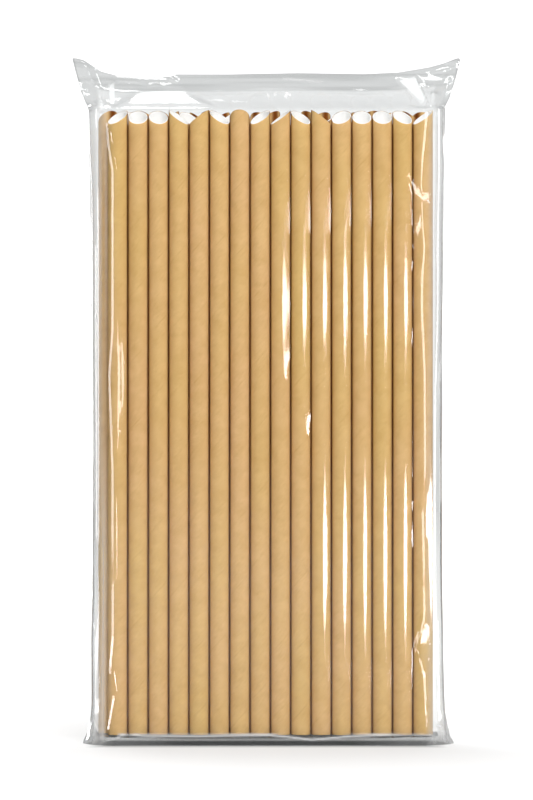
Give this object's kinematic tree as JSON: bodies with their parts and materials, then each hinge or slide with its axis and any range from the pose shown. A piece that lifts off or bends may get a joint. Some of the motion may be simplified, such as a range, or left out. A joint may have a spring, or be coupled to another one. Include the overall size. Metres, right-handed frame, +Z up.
{
  "type": "drinking straw pack",
  "caption": "Clear film bag of kraft paper drinking straws, bias cut at the top, standing upright on its folded end, with a flat top seal and raised corner ears.",
  "frame": {"origin": "on the surface that the pack stands on, below the middle of the bag", "axes": "+Z up along the straws, +X to the right across the row, the front faces -Y"},
  "size_m": [0.1208, 0.0181, 0.2167],
  "materials": {
    "kraft_paper": "matt",
    "clear_film": "gloss"
  },
  "bodies": {
    "root": {"straw_front_01": "kraft_paper", "straw_front_02": "kraft_paper", "straw_front_03": "kraft_paper", "straw_front_04": "kraft_paper", "straw_front_05": "kraft_paper", "straw_front_06": "kraft_paper", "straw_front_07": "kraft_paper", "straw_front_08": "kraft_paper", "straw_front_09": "kraft_paper", "straw_front_10": "kraft_paper", "straw_front_11": "kraft_paper", "straw_front_12": "kraft_paper", "straw_front_13": "kraft_paper", "straw_front_14": "kraft_paper", "straw_front_15": "kraft_paper", "straw_front_16": "kraft_paper", "straw_middle_01": "kraft_paper", "straw_middle_02": "kraft_paper", "straw_middle_03": "kraft_paper", "straw_middle_04": "kraft_paper", "straw_middle_05": "kraft_paper", "straw_middle_06": "kraft_paper", "straw_middle_07": "kraft_paper", "straw_middle_08": "kraft_paper", "straw_middle_09": "kraft_paper", "straw_middle_10": "kraft_paper", "straw_middle_11": "kraft_paper", "straw_middle_12": "kraft_paper", "straw_middle_13": "kraft_paper", "straw_middle_14": "kraft_paper", "straw_middle_15": "kraft_paper", "straw_middle_16": "kraft_paper", "straw_back_01": "kraft_paper", "straw_back_02": "kraft_paper", "straw_back_03": "kraft_paper", "straw_back_04": "kraft_paper", "straw_back_05": "kraft_paper", "straw_back_06": "kraft_paper", "straw_back_07": "kraft_paper", "straw_back_08": "kraft_paper", "straw_back_09": "kraft_paper", "straw_back_10": "kraft_paper", "straw_back_11": "kraft_paper", "straw_back_12": "kraft_paper", "straw_back_13": "kraft_paper", "straw_back_14": "kraft_paper", "straw_back_15": "kraft_paper", "straw_back_16": "kraft_paper", "film_bag": "clear_film"}
  },
  "joints": []
}
